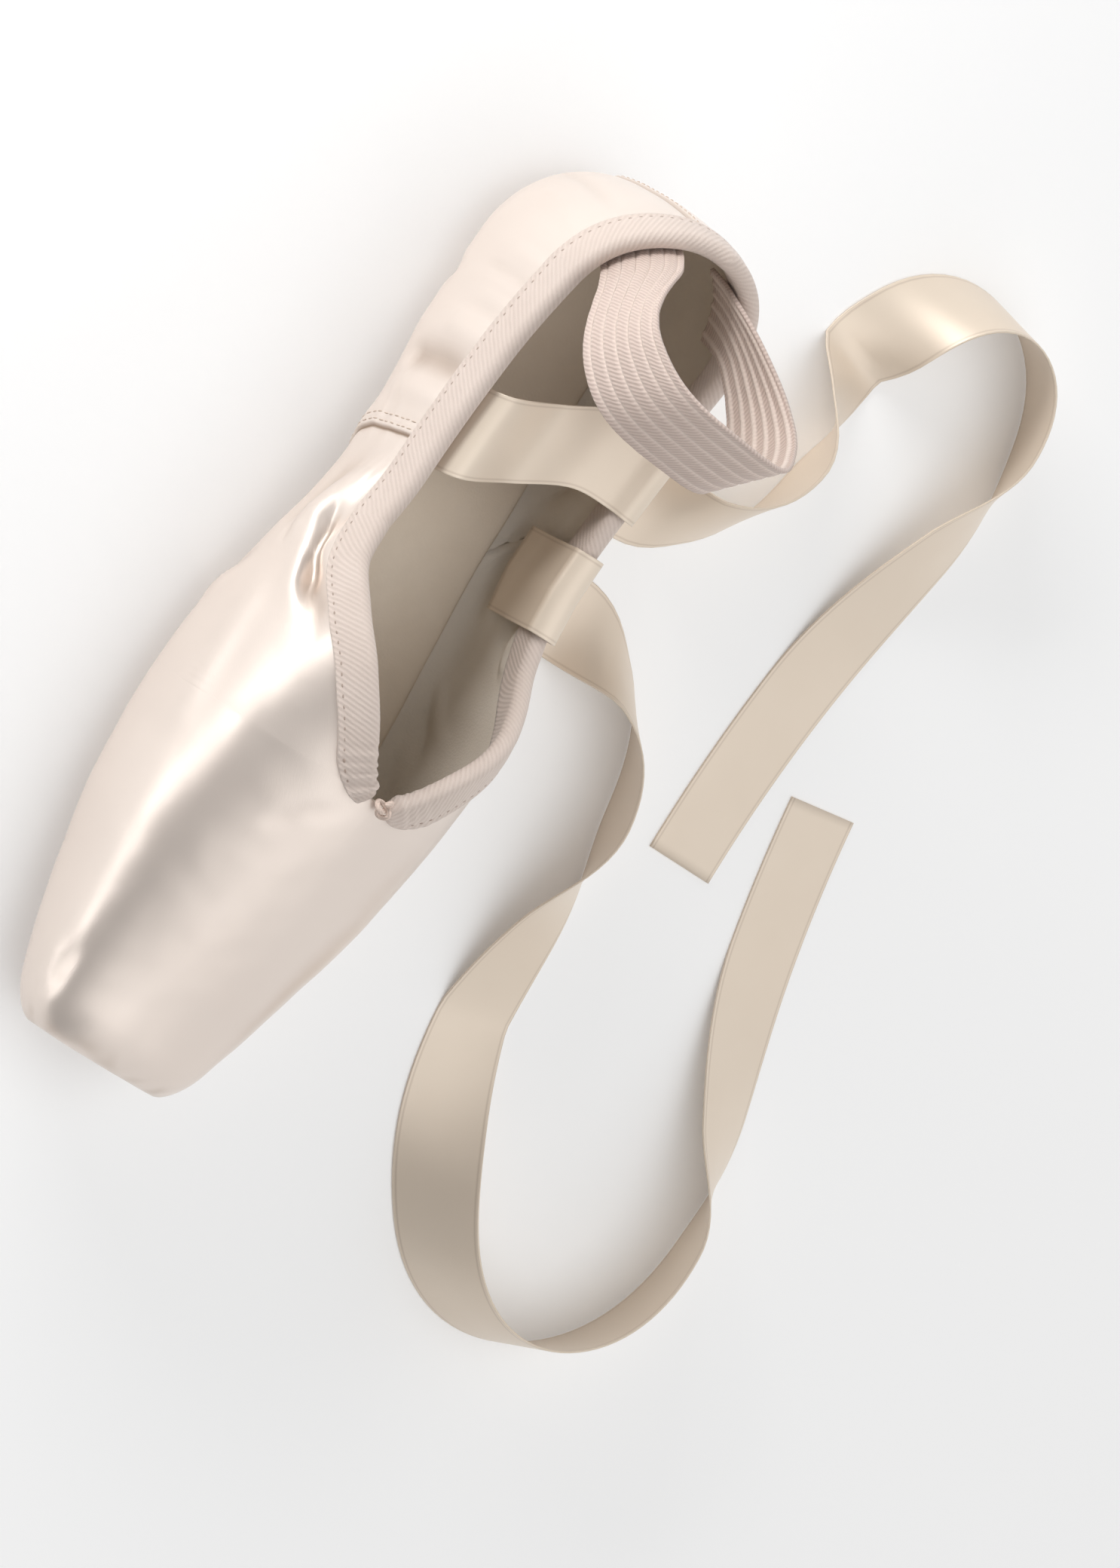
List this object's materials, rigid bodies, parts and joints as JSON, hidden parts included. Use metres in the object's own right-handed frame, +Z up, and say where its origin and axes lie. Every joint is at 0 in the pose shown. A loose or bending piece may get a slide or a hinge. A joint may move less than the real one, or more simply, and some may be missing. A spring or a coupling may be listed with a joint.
{
  "type": "pointe shoe",
  "caption": "Satin ballet pointe shoe with a flat toe platform, leather outsole, twill collar binding, ankle elastic and loose satin ribbons.",
  "frame": {"origin": "on the floor, under the middle of the shoe's length and on its middle line", "axes": "+X towards the toe, +Y towards the wearer's left side of the shoe, +Z up"},
  "size_m": [0.2858, 0.2364, 0.0987],
  "materials": {
    "satin": "glossy satin",
    "sole_leather": "matte, scored",
    "insole_board": "matte",
    "twill": "matte twill tape",
    "drawstring": "matte cotton cord",
    "elastic_webbing": "matte, ribbed",
    "ribbon_satin": "soft satin"
  },
  "bodies": {
    "root": {"upper": "satin", "outsole": "sole_leather", "insole": "insole_board", "binding": "twill", "drawstring_knot": "drawstring", "elastic": "elastic_webbing", "ribbon_front": "ribbon_satin", "ribbon_rear": "ribbon_satin"}
  },
  "joints": []
}
